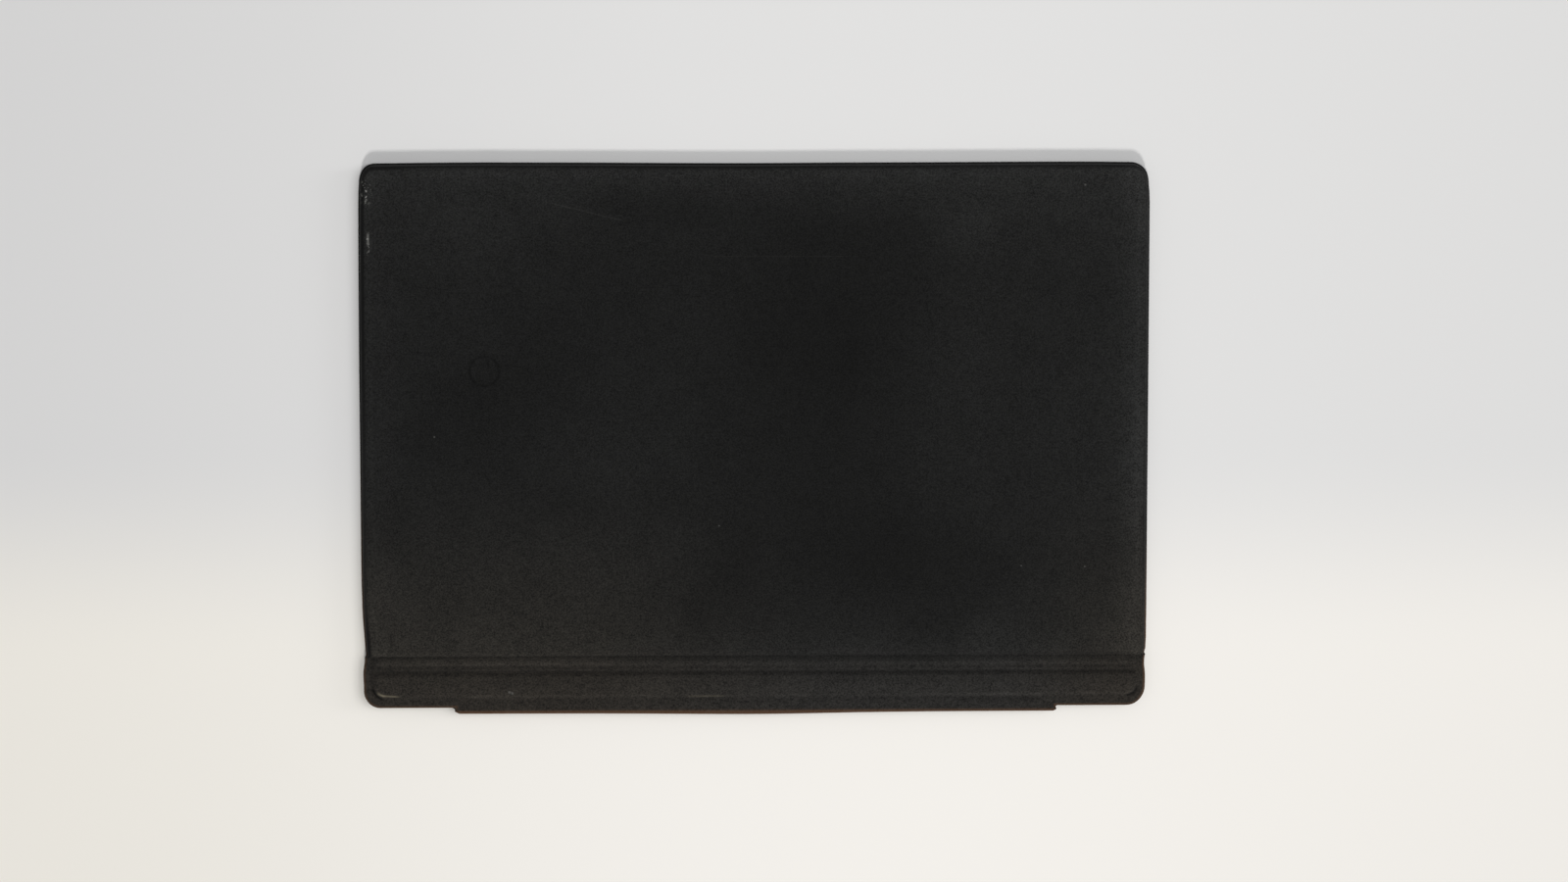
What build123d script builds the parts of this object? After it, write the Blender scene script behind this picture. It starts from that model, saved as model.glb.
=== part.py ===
from build123d import *

import os
from math import asin, degrees

# A slim keyboard case for a tablet. It lies keys down: X runs along the folds, +Y points from the
# connector spine to the free edge, +Z is the outer back and the floor is z = 0. The origin is the
# middle of the case's footprint, on the floor. The spine is folded under the flap.

# ------------------------------------------------------------------ driving dimensions, millimetres
# Case
case_width = 295.0
panel_depth = 184.9
panel_thickness = 4.9
corner_radius = 6.3
skin_thickness = 0.5
flange_width = 0.8
shoulder_radius = 1.6
back_plate_thickness = 0.4
fit_clearance = 0.05

# Fold between panel and flap, made of the two skins alone
fold_band_depth = 6.0
fold_drop = 0.5
fold_side_inset = 0.8
crease_gap = 0.5

# Magnetic flap
flap_depth = 12.7
flap_side_inset = 0.35
flap_bar_rise = 0.4
flap_bar_gap = 0.2
flap_bar_from_crease = 0.9
flap_bar_from_edge = 3.9
flap_bar_from_side = 4.2
flap_bar_outer_radius = 3.4
flap_bar_inner_radius = 1.0
flap_magnet_length = 30.0
flap_magnet_depth = 4.4
flap_magnet_thickness = 1.1
flap_magnet_count = 6
flap_magnet_pitch = 46.0

# Fabric turn at the flap's free edge, and the spine folded under the flap
turn_width = 225.6
turn_reach = 2.05
turn_relief = 0.05
spine_lead = 0.5
spine_depth = 7.2
spine_thickness = 1.6
spine_magnet_length = 38.0
spine_magnet_depth = 3.6
spine_magnet_thickness = 1.1
spine_magnet_places = (-92.0, -46.0, 46.0, 92.0)
contact_block_length = 32.0
contact_block_depth = 2.5
contact_gap = 0.5
contact_block_from_edge = 0.6
contact_count = 6
contact_pitch = 4.2
contact_pin_length = 1.6
contact_pin_depth = 1.2
contact_pin_rise = 0.08
post_radius = 1.0
post_spacing = 44.0

# Keys
row_pitch = 18.0
row_units = 15
function_row_pitch = 9.8
key_gap = 2.6
half_key_gap = 1.2
key_radius = 1.0
key_travel = 1.3
key_recess = 0.3
key_crown = 0.6
key_wall = 0.9
key_window_clearance = 0.25
press_clearance = 0.1
key_field_border = 1.2
key_field_radius = 2.0
key_field_from_side = 8.1
key_field_from_fold = 12.0
well_depth = 0.9
web_ledge = 1.5

# Layers under the keys
membrane_thickness = 0.2
base_plate_thickness = 0.3
light_guide_thickness = 0.4
membrane_tail_width = 14.0
membrane_tail_place = 28.0

# Scissor links and rubber domes
link_length = 8.6
link_outer_width = 11.0
link_bar = 1.0
link_thickness = 0.6
link_play = 0.2
dome_play = 0.5
dome_taper = 0.6
dome_wall = 0.5

# Clickpad
pad_width = 101.0
pad_radius = 2.5
pad_gap = 0.4
pad_from_keys = 6.3
pad_from_free_edge = 10.0
pad_recess = 0.25
pad_glass_thickness = 0.8
pad_board_thickness = 0.8
pad_board_inset = 0.8
pad_switch_radius = 2.6
pad_switch_height = 0.5
pad_switch_from_far_edge = 9.0
pad_chip_size = 6.0
pad_chip_height = 0.6
pad_click_gap = 0.35
pad_bracket_thickness = 0.4
pad_bracket_ledge = 2.5
pad_boss_radius = 1.9
pad_rib_depth = 3.0
pad_rib_from_edge = 1.4

# Controller board
board_length = 96.0
board_depth = 6.6
board_thickness = 0.8
board_pocket_play = 0.5
board_from_front = 1.0
board_wall = 1.0
chip_size = 4.6
chip_height = 0.7
chip_places = (-36.0, -24.0, 40.0)
connector_depth = 3.0

# Ribbon cable from the controller board to the spine
ribbon_width = 12.0
ribbon_thickness = 0.15
ribbon_play = 0.1
ribbon_bend = 0.3
ribbon_overlap = 2.0
ribbon_ramp = 2.4

# Magnets at the panel's free edge, which hold the case shut
closure_magnet_length = 20.0
closure_magnet_depth = 3.6
closure_magnet_thickness = 1.4
closure_magnet_from_side = 27.0
closure_magnet_from_edge = 6.0

# ------------------------------------------------------------------ places worked out from them
total_depth = panel_depth + fold_band_depth + flap_depth + turn_reach
y_far = total_depth / 2
y_panel_crease = y_far - panel_depth
y_flap_crease = y_panel_crease - fold_band_depth
y_flap_edge = y_flap_crease - flap_depth
y_panel_end = y_panel_crease + crease_gap / 2
y_core_end = y_panel_end + skin_thickness

z_back = panel_thickness
z_plate = z_back - skin_thickness - back_plate_thickness
z_light_guide = z_plate - light_guide_thickness
z_base_plate = z_light_guide - base_plate_thickness
z_membrane = z_base_plate - membrane_thickness
z_key_ceiling = key_recess + key_crown
key_height = z_membrane - key_travel - press_clearance - key_recess
z_flange_top = 2 * skin_thickness

z_fold_top = z_back - fold_drop
z_fold_middle = z_fold_top - skin_thickness
z_fold_bottom = z_fold_middle - skin_thickness
fold_width = case_width - 2 * fold_side_inset
flap_width = case_width - 2 * flap_side_inset

y_turn = y_flap_edge - turn_reach + skin_thickness
z_turn_low = skin_thickness
turn_end = skin_thickness + turn_relief
y_spine = y_turn + turn_end + spine_lead
z_spine_top = skin_thickness + spine_thickness
z_bar_low = z_spine_top + flap_bar_gap
z_block_top = z_fold_bottom - contact_gap

key_field_width = case_width - 2 * key_field_from_side
key_pitch = (key_field_width - 2 * key_field_border + key_gap) / row_units
key_field_depth = function_row_pitch + 5 * row_pitch - key_gap + 2 * key_field_border
y_key_field = y_panel_crease + key_field_from_fold
y_key_field_middle = y_key_field + key_field_depth / 2

y_pad = y_key_field + key_field_depth + pad_from_keys
pad_depth = y_far - pad_from_free_edge - y_pad
y_pad_middle = y_pad + pad_depth / 2
z_pad_board = pad_recess + pad_glass_thickness
z_pad_back = z_pad_board + pad_board_thickness
z_pad_bracket = z_plate - pad_bracket_thickness
z_pad_boss = z_pad_back + pad_switch_height + pad_click_gap
y_pad_pivot = y_pad + pad_rib_from_edge + pad_rib_depth
y_pad_switch = y_pad + pad_depth - pad_switch_from_far_edge

z_board = skin_thickness + board_from_front
z_board_back = z_board + board_thickness
y_board_pocket = y_core_end + board_wall
y_board_middle = y_board_pocket + board_pocket_play + board_depth / 2

# ------------------------------------------------------------------ the key rows, function row first
function_row = [("escape", 15 / 14)] + [(f"f{n}", 15 / 14) for n in range(1, 13)] + [("delete", 15 / 14)]
number_row = [("grave", 1)] + [(digit, 1) for digit in "1234567890"]
number_row += [("minus", 1), ("equals", 1), ("backspace", 2)]
upper_row = [("tab", 1.5)] + [(letter, 1) for letter in "qwertyuiop"]
upper_row += [("left_bracket", 1), ("right_bracket", 1), ("backslash", 1.5)]
home_row = [("caps_lock", 1.75)] + [(letter, 1) for letter in "asdfghjkl"]
home_row += [("semicolon", 1), ("quote", 1), ("enter", 2.25)]
lower_row = [("shift_left", 2.25)] + [(letter, 1) for letter in "zxcvbnm"]
lower_row += [("comma", 1), ("period", 1), ("slash", 1), ("shift_right", 2.75)]
space_row = [("control", 1.25), ("function", 1), ("home", 1), ("alt_left", 1.25), ("space", 5.5)]
space_row += [("alt_right", 1), ("menu", 1), ("arrow_left", 1), ("arrow_updown", 1), ("arrow_right", 1)]

number_keys = ["grave", *"1234567890", "minus", "equals"]
symbol_keys = ["left_bracket", "right_bracket", "backslash", "semicolon", "quote", "comma", "period", "slash"]
single_keys = [*"abcdefghijklmnopqrstuvwxyz", "space", "enter", "backspace"]


def key_places():
    """Every key's name, centre x, centre y, width and depth."""
    places = []
    y_row = y_key_field + key_field_border - key_gap / 2
    rows = [(function_row, function_row_pitch)]
    rows += [(row, row_pitch) for row in (number_row, upper_row, home_row, lower_row, space_row)]
    for row, pitch in rows:
        x_key = -row_units * key_pitch / 2
        y_key = y_row + pitch / 2
        depth = pitch - key_gap
        for name, units in row:
            x_middle = x_key + units * key_pitch / 2
            width = units * key_pitch - key_gap
            if name == "arrow_updown":
                half = (depth - half_key_gap) / 2
                shift = (half + half_key_gap) / 2
                places.append(("arrow_up", x_middle, y_key - shift, width, half))
                places.append(("arrow_down", x_middle, y_key + shift, width, half))
            else:
                places.append((name, x_middle, y_key, width, depth))
            x_key += units * key_pitch
        y_row += pitch
    return places


# ------------------------------------------------------------------ shapes used again and again
def slab(width, depth, z_low, z_high, x=0.0, y=0.0):
    """A plain block between two heights, centred on x, y."""
    return Pos(x, y, (z_low + z_high) / 2) * Box(width, depth, z_high - z_low)


def rounded_slab(width, depth, radius, z_low, z_high, x=0.0, y=0.0):
    """A block with rounded upright edges, between two heights, centred on x, y."""
    return Pos(x, y, z_low) * extrude(RectangleRounded(width, depth, radius), z_high - z_low)


def span_slab(width, y_low, y_high, z_low, z_high, x=0.0):
    """A plain block from one y to another."""
    return slab(width, y_high - y_low, z_low, z_high, x, (y_low + y_high) / 2)


def part_of(solids):
    """Several solids kept as one node."""
    return Compound(children=list(solids))


def panel_block(inset, z_low, z_high, top_radius=0.0):
    """The panel's outline drawn in by inset on its three free sides, between two heights."""
    overrun = corner_radius
    width = case_width - 2 * inset
    depth = y_far - inset - y_panel_end + overrun
    outline = Pos(0, y_far - inset - depth / 2) * Rectangle(width, depth)
    outline = fillet(outline.vertices().sort_by(Axis.Y)[-2:], corner_radius - inset)
    block = Pos(0, 0, z_low) * extrude(outline, z_high - z_low)
    if top_radius > 0:
        block = fillet(block.faces().sort_by(Axis.Z)[-1].edges(), top_radius)
    return block - span_slab(2 * case_width, y_panel_end - 2 * overrun, y_panel_end, z_low - 1, z_high + 1)


def panel_cavity(clearance):
    """The space inside the panel's two skins, drawn in by a clearance at its sides."""
    inset = flange_width + skin_thickness + clearance
    radius = shoulder_radius - skin_thickness - clearance
    return panel_block(inset, skin_thickness, z_back - skin_thickness, radius)


def ribbon_tunnel(y_low, y_high, z_middle=z_fold_middle):
    """Room for the ribbon cable on a level stretch."""
    room = ribbon_thickness / 2 + ribbon_play
    return span_slab(ribbon_width + 2 * ribbon_play, y_low, y_high, z_middle - room, z_middle + room)


# ------------------------------------------------------------------ panel shells
def back_skin():
    """Outer sheet of the panel, pressed to a shallow tray with a thin flange round its free sides."""
    tray = panel_block(flange_width, skin_thickness, z_back, shoulder_radius)
    flange = panel_block(0, skin_thickness, z_flange_top)
    return tray + flange - panel_cavity(0)


def front_skin():
    """Keyboard side of the panel: the palm rest sheet, its two openings and its turned-up fold end."""
    sheet = panel_block(0, 0, skin_thickness)
    turned_up = span_slab(case_width, y_panel_end, y_core_end, skin_thickness, z_plate)
    sheet += turned_up & panel_cavity(fit_clearance)
    sheet -= rounded_slab(key_field_width, key_field_depth, key_field_radius, -1, skin_thickness,
                          y=y_key_field_middle)
    sheet -= rounded_slab(pad_width + 2 * pad_gap, pad_depth + 2 * pad_gap, pad_radius + pad_gap, -1,
                          skin_thickness, y=y_pad_middle)
    return sheet - ribbon_tunnel(y_panel_end - 1, y_core_end + 1)


def back_plate():
    """Stiff laminate sheet bonded under the outer skin."""
    plate = panel_cavity(fit_clearance) & span_slab(case_width, y_core_end, y_far, z_plate, z_back)
    return plate - ribbon_tunnel(y_core_end - 1, y_board_pocket + ribbon_ramp)


def core_frame():
    """Moulded frame between the skins, with pockets for keys, clickpad, board and magnets."""
    frame = panel_cavity(fit_clearance) & span_slab(case_width, y_core_end, y_far, skin_thickness, z_plate)
    frame -= rounded_slab(key_field_width, key_field_depth, key_field_radius, 0, z_plate, y=y_key_field_middle)
    frame -= rounded_slab(key_field_width + 2 * web_ledge, key_field_depth + 2 * web_ledge,
                          key_field_radius, well_depth, z_plate, y=y_key_field_middle)
    frame -= rounded_slab(pad_width + 2 * pad_gap, pad_depth + 2 * pad_gap, pad_radius + pad_gap, 0, z_plate,
                          y=y_pad_middle)
    frame -= rounded_slab(pad_width + 2 * pad_bracket_ledge + 2 * fit_clearance,
                          pad_depth + 2 * pad_bracket_ledge + 2 * fit_clearance,
                          pad_radius, z_pad_bracket, z_plate, y=y_pad_middle)
    pocket_depth = board_depth + 2 * board_pocket_play
    frame -= slab(board_length + 2 * board_pocket_play, pocket_depth, z_board, z_plate, y=y_board_middle)
    frame -= ribbon_tunnel(y_core_end - 1, y_board_pocket + 1)
    frame -= span_slab(membrane_tail_width + 2 * board_pocket_play, y_board_pocket + pocket_depth - 1,
                       y_key_field, z_membrane, z_plate, x=membrane_tail_place)
    for x, y in closure_magnet_spots():
        frame -= slab(closure_magnet_length + 2 * fit_clearance, closure_magnet_depth + 2 * fit_clearance,
                      z_plate - closure_magnet_thickness, z_plate, x, y)
    return frame


def closure_magnet_spots():
    """Centres of the two magnets at the free edge's corners."""
    x = case_width / 2 - closure_magnet_from_side
    y = y_far - closure_magnet_from_edge
    return [(-x, y), (x, y)]


def closure_magnets():
    """Flat magnets let into the core from its back."""
    return part_of(slab(closure_magnet_length, closure_magnet_depth, z_plate - closure_magnet_thickness,
                        z_plate, x, y) for x, y in closure_magnet_spots())


# ------------------------------------------------------------------ keyboard
def layer_size(clearance):
    """Width and depth of a sheet that fills the key pocket."""
    width = key_field_width + 2 * web_ledge - 2 * clearance
    depth = key_field_depth + 2 * web_ledge - 2 * clearance
    return width, depth


def key_web():
    """Grid that fills the key pocket, with one window for each key."""
    width, depth = layer_size(fit_clearance)
    plate = Pos(0, y_key_field_middle) * RectangleRounded(width, depth, key_field_radius)
    grow = 2 * key_window_clearance
    plate -= [Pos(x, y) * RectangleRounded(w + grow, d + grow, key_radius + key_window_clearance)
              for _, x, y, w, d in key_places()]
    return Pos(0, 0, well_depth) * extrude(plate, z_membrane - well_depth)


def switch_membrane():
    """Printed switch sheet, with a tail that reaches the controller board's connector."""
    width, depth = layer_size(fit_clearance)
    sheet = rounded_slab(width, depth, key_field_radius, z_membrane, z_base_plate, y=y_key_field_middle)
    tail = span_slab(membrane_tail_width, y_board_middle, y_key_field, z_membrane, z_base_plate,
                     x=membrane_tail_place)
    return sheet + tail


def base_plate():
    """Thin metal plate that backs the switch sheet."""
    width, depth = layer_size(fit_clearance)
    return rounded_slab(width, depth, key_field_radius, z_base_plate, z_light_guide, y=y_key_field_middle)


def light_guide():
    """Clear sheet that spreads the backlight."""
    width, depth = layer_size(fit_clearance)
    return rounded_slab(width, depth, key_field_radius, z_light_guide, z_plate, y=y_key_field_middle)


def keycap(x, y, width, depth):
    """One cap, open towards the membrane."""
    cap = rounded_slab(width, depth, key_radius, key_recess, key_recess + key_height, x, y)
    inner_radius = max(key_radius - key_wall, key_radius / 2)
    return cap - rounded_slab(width - 2 * key_wall, depth - 2 * key_wall, inner_radius, z_key_ceiling,
                              key_recess + key_height, x, y)


def link_size(depth):
    """Length of a scissor link under a cap of this depth."""
    return min(link_length, depth - 2 * key_wall - 2 * link_play)


def scissor_pair(x, y, depth):
    """Two frames that cross on the key's middle line, at the height of an unpressed key."""
    length = link_size(depth)
    room = z_membrane - z_key_ceiling
    tilt = degrees(asin((room - link_thickness - link_play / 2) / length))
    inner_width = link_outer_width - 2 * link_bar - 2 * link_play
    pair = []
    for width, lean in ((link_outer_width, tilt), (inner_width, -tilt)):
        ring = Rectangle(width, length) - Rectangle(width - 2 * link_bar, length - 2 * link_bar)
        ring = extrude(ring, link_thickness / 2, both=True)
        pair.append(Pos(x, y, (z_membrane + z_key_ceiling) / 2) * Rot(lean, 0, 0) * ring)
    return pair


def rubber_dome(x, y, depth):
    """Hollow cup that springs the cap back."""
    base = link_size(depth) / 2 - link_bar - dome_play
    top = base * dome_taper
    height = z_membrane - z_key_ceiling
    wall = min(dome_wall, base / 3)
    profile = Polyline((0, 0), (top, 0), (base, height), (base - wall, height), (top - wall, wall), (0, wall),
                       close=True)
    cup = revolve(Plane.XZ * make_face(profile), Axis.Z)
    return Pos(x, y, z_key_ceiling) * cup


# ------------------------------------------------------------------ clickpad
def pad_glass():
    """Touch surface, a little below the palm rest."""
    return rounded_slab(pad_width, pad_depth, pad_radius, pad_recess, z_pad_board, y=y_pad_middle)


def pad_board():
    """Sensor board bonded to the glass, with its click switch and one chip."""
    board = rounded_slab(pad_width - 2 * pad_board_inset, pad_depth - 2 * pad_board_inset, pad_radius,
                         z_pad_board, z_pad_back, y=y_pad_middle)
    switch = Pos(0, y_pad_switch, z_pad_back + pad_switch_height / 2)
    switch *= Cylinder(pad_switch_radius, pad_switch_height)
    chip = slab(pad_chip_size, pad_chip_size, z_pad_back, z_pad_back + pad_chip_height, pad_width / 4,
                y_pad_middle)
    return part_of([board, switch, chip])


def pad_bracket():
    """Steel plate behind the clickpad, with the rib it tilts on and the boss its switch meets."""
    plate = rounded_slab(pad_width + 2 * pad_bracket_ledge, pad_depth + 2 * pad_bracket_ledge, pad_radius,
                         z_pad_bracket, z_pad_bracket + pad_bracket_thickness, y=y_pad_middle)
    rib = span_slab(pad_width - 4 * pad_bracket_ledge, y_pad_pivot - pad_rib_depth, y_pad_pivot, z_pad_back,
                    z_pad_bracket)
    boss = Pos(0, y_pad_switch, (z_pad_boss + z_pad_bracket) / 2)
    boss *= Cylinder(pad_boss_radius, z_pad_bracket - z_pad_boss)
    return plate + rib + boss


# ------------------------------------------------------------------ controller board and ribbon cable
def main_board():
    """Controller board in its pocket beside the fold, with chips and two connectors."""
    board = slab(board_length, board_depth, z_board, z_board_back, y=y_board_middle)
    chips = [slab(chip_size, chip_size, z_board_back, z_board_back + chip_height, x, y_board_middle)
             for x in chip_places]
    tail_connector = slab(membrane_tail_width, connector_depth, z_board_back, z_membrane,
                          membrane_tail_place, y_board_middle)
    return part_of([board, *chips, tail_connector])


def ribbon_cable():
    """Flat cable from the board through the fold and round the turn to the contact block."""
    z_start = z_board_back + ribbon_thickness / 2
    y_ramp_foot = y_board_pocket + board_pocket_play + ribbon_ramp
    y_ramp_top = y_board_pocket + board_pocket_play / 2
    y_end = contact_block_middle() + contact_block_depth / 2
    route = [(0, y_ramp_foot + ribbon_overlap, z_start), (0, y_ramp_foot, z_start),
             (0, y_ramp_top, z_fold_middle), (0, y_turn, z_fold_middle), (0, y_turn, z_turn_low),
             (0, y_end, z_turn_low)]
    path = FilletPolyline(*route, radius=ribbon_bend)
    start = Plane(origin=route[0], x_dir=(1, 0, 0), z_dir=(0, -1, 0))
    return sweep(start * Rectangle(ribbon_width, ribbon_thickness), path)


# ------------------------------------------------------------------ fold band and flap
def fold_band():
    """The two skins bonded to each other between the creases."""
    band = span_slab(fold_width, y_flap_crease + crease_gap / 2, y_panel_crease - crease_gap / 2,
                     z_fold_bottom, z_fold_top)
    return band - ribbon_tunnel(y_flap_crease - 1, y_panel_crease + 1)


def flap_sheet(z_low, z_high):
    """The flap's flat border and the tongue that runs on into the fabric turn."""
    depth = flap_depth - crease_gap / 2
    outline = Pos(0, y_flap_edge + depth / 2) * Rectangle(flap_width, depth)
    outline = fillet(outline.vertices().sort_by(Axis.Y)[:2], corner_radius)
    sheet = Pos(0, 0, z_low) * extrude(outline, z_high - z_low)
    return sheet + span_slab(turn_width, y_turn + turn_end, y_flap_edge + corner_radius, z_low, z_high)


def flap_bar(inset, z_low, z_high):
    """The stiff bar's outline in the flap, drawn in by inset, between two heights."""
    width = flap_width - 2 * flap_bar_from_side - 2 * inset
    depth = flap_depth - flap_bar_from_crease - flap_bar_from_edge - 2 * inset
    y_middle = y_flap_edge + flap_bar_from_edge + inset + depth / 2
    outline = Pos(0, y_middle) * Rectangle(width, depth)
    low_corners = outline.vertices().sort_by(Axis.Y)[:2]
    outline = fillet(low_corners, flap_bar_outer_radius - inset)
    outline = fillet(outline.vertices().sort_by(Axis.Y)[-2:], flap_bar_inner_radius - inset)
    return Pos(0, 0, z_low) * extrude(outline, z_high - z_low)


def flap_back_skin():
    """Outer sheet of the flap, raised over the stiff bar."""
    rise = flap_bar(0, z_fold_middle, z_fold_top + flap_bar_rise)
    hollow = flap_bar(skin_thickness, z_fold_middle, z_fold_top + flap_bar_rise - skin_thickness)
    skin = flap_sheet(z_fold_middle, z_fold_top) + rise - hollow
    return skin - ribbon_tunnel(y_turn - 1, y_flap_crease + 1)


def flap_front_skin():
    """Keyboard-side sheet of the flap, sunk under the stiff bar."""
    sink = flap_bar(0, z_bar_low, z_fold_middle)
    hollow = flap_bar(skin_thickness, z_bar_low + skin_thickness, z_fold_middle)
    skin = flap_sheet(z_fold_bottom, z_fold_middle) + sink - hollow
    return skin - ribbon_tunnel(y_turn - 1, y_flap_crease + 1)


def flap_magnet_blocks(clearance):
    """The row of magnets in the flap, grown by a clearance to cut their pockets."""
    z_high = z_fold_top + flap_bar_rise - skin_thickness
    y_middle = (y_flap_edge + flap_bar_from_edge + y_flap_crease - flap_bar_from_crease) / 2
    first = -(flap_magnet_count - 1) * flap_magnet_pitch / 2
    return [slab(flap_magnet_length + 2 * clearance, flap_magnet_depth + 2 * clearance,
                 z_high - flap_magnet_thickness, z_high, first + n * flap_magnet_pitch, y_middle)
            for n in range(flap_magnet_count)]


def flap_stiffener():
    """Bar that fills the flap between its skins and holds the magnets."""
    z_high = z_fold_top + flap_bar_rise - skin_thickness
    bar = flap_bar(skin_thickness + fit_clearance, z_bar_low + skin_thickness, z_high)
    bar -= flap_magnet_blocks(fit_clearance)
    return bar - ribbon_tunnel(y_turn - 1, y_flap_crease + 1)


# ------------------------------------------------------------------ fabric turn and connector spine
def turn_strip():
    """Fabric between the flap and the spine; it stands upright while the spine is folded under."""
    strip = slab(turn_width, 2 * skin_thickness, z_turn_low + turn_end, z_fold_middle - turn_end, y=y_turn)
    room = ribbon_thickness + 2 * ribbon_play
    return strip - slab(ribbon_width + 2 * ribbon_play, room, 0, z_fold_middle, y=y_turn)


def spine_cover():
    """Fabric bonded to the spine's outer face, with the thick lead that comes out of the turn."""
    lead = span_slab(turn_width, y_turn + turn_end, y_spine, 0, 2 * skin_thickness)
    sheet = span_slab(turn_width, y_spine, y_spine + spine_depth, 0, skin_thickness)
    return lead + sheet - ribbon_tunnel(y_turn, contact_block_middle() + contact_block_depth, z_turn_low)


def contact_block_middle():
    """The contact block's centre line in y."""
    return y_flap_edge + contact_block_from_edge + contact_block_depth / 2


def spine_magnet_blocks(clearance):
    """The magnets in the spine, grown by a clearance to cut their pockets."""
    return [slab(spine_magnet_length + 2 * clearance, spine_magnet_depth + 2 * clearance, skin_thickness,
                 skin_thickness + spine_magnet_thickness, x, y_spine + spine_depth / 2)
            for x in spine_magnet_places]


def spine_housing():
    """Rigid rail that clings to the tablet's edge."""
    rail = span_slab(turn_width, y_spine, y_spine + spine_depth, skin_thickness, z_spine_top)
    rail = fillet(rail.edges().filter_by(Axis.Z), post_radius)
    rail -= spine_magnet_blocks(fit_clearance)
    rail -= slab(contact_block_length + 2 * fit_clearance, contact_block_depth + 2 * fit_clearance, 0,
                 z_spine_top, y=contact_block_middle())
    return rail - ribbon_tunnel(y_turn, contact_block_middle() + contact_block_depth, z_turn_low)


def contact_blocks():
    """Insulating block for the contacts, and the two posts that locate the spine on the tablet."""
    z_low = z_turn_low + ribbon_thickness / 2
    block = slab(contact_block_length, contact_block_depth, z_low, z_block_top, y=contact_block_middle())
    block -= contact_pins()
    post = Pos(0, contact_block_middle(), (z_spine_top + z_block_top) / 2)
    post *= Cylinder(post_radius, z_block_top - z_spine_top)
    return part_of([block] + [Pos(x, 0) * post for x in (-post_spacing / 2, post_spacing / 2)])


def contact_pins():
    """Plated contacts that run through the block to the ribbon cable."""
    first = -(contact_count - 1) * contact_pitch / 2
    return [slab(contact_pin_length, contact_pin_depth, z_turn_low + ribbon_thickness / 2,
                 z_block_top + contact_pin_rise, first + n * contact_pitch, contact_block_middle())
            for n in range(contact_count)]


# ------------------------------------------------------------------ every node
def key_nodes():
    """Node name to its caps: one node for each main key, and one for each group of the others."""
    nodes = {}
    for name, x, y, width, depth in key_places():
        if name in single_keys:
            node = "key_" + name
        elif name in number_keys:
            node = "number_row_keys"
        elif name in symbol_keys:
            node = "symbol_keys"
        elif name in dict(function_row):
            node = "function_row_keys"
        else:
            node = "modifier_and_arrow_keys"
        nodes.setdefault(node, []).append(keycap(x, y, width, depth))
    return {node: part_of(caps) for node, caps in nodes.items()}


def all_nodes():
    """Every node of the case, by name."""
    nodes = {
        "back_skin": back_skin(),
        "back_plate": back_plate(),
        "core_frame": core_frame(),
        "front_skin": front_skin(),
        "closure_magnets": closure_magnets(),
        "key_web": key_web(),
        "switch_membrane": switch_membrane(),
        "base_plate": base_plate(),
        "light_guide": light_guide(),
        "clickpad_glass": pad_glass(),
        "clickpad_board": pad_board(),
        "clickpad_bracket": pad_bracket(),
        "main_board": main_board(),
        "ribbon_cable": ribbon_cable(),
        "fold_band": fold_band(),
        "flap_back_skin": flap_back_skin(),
        "flap_front_skin": flap_front_skin(),
        "flap_stiffener": flap_stiffener(),
        "flap_magnets": part_of(flap_magnet_blocks(0)),
        "turn_strip": turn_strip(),
        "spine_cover": spine_cover(),
        "spine_housing": spine_housing(),
        "spine_magnets": part_of(spine_magnet_blocks(0)),
        "contact_block": contact_blocks(),
        "contact_pins": part_of(contact_pins()),
    }
    links = []
    domes = []
    for _, x, y, _, depth in key_places():
        links += scissor_pair(x, y, depth)
        domes.append(rubber_dome(x, y, depth))
    nodes["scissor_links"] = part_of(links)
    nodes["rubber_domes"] = part_of(domes)
    nodes.update(key_nodes())
    return nodes


os.makedirs("parts", exist_ok=True)
for node_name, shape in all_nodes().items():
    export_step(shape, f"parts/{node_name}.step")
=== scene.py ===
"""Tablet keyboard case, lying keys down on a pale table with its connector spine folded under."""
import math

import bmesh
import bpy
from mathutils import Matrix, Vector, noise
from numpy import interp


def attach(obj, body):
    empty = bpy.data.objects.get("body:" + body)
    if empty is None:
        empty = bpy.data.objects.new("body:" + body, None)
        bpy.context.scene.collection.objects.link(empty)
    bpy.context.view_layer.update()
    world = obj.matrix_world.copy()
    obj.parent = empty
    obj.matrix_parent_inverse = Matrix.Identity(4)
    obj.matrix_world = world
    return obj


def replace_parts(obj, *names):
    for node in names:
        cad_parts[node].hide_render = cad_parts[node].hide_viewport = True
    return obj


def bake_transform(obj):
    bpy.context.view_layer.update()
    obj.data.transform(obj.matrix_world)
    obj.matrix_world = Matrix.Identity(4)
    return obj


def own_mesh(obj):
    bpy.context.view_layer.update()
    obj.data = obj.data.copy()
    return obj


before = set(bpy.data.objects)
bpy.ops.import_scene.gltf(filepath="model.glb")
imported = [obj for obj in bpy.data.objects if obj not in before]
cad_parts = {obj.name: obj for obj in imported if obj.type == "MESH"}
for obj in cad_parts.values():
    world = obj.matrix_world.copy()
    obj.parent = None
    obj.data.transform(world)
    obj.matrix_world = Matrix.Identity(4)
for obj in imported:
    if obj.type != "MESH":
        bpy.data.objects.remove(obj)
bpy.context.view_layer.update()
MM = 0.001


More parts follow.
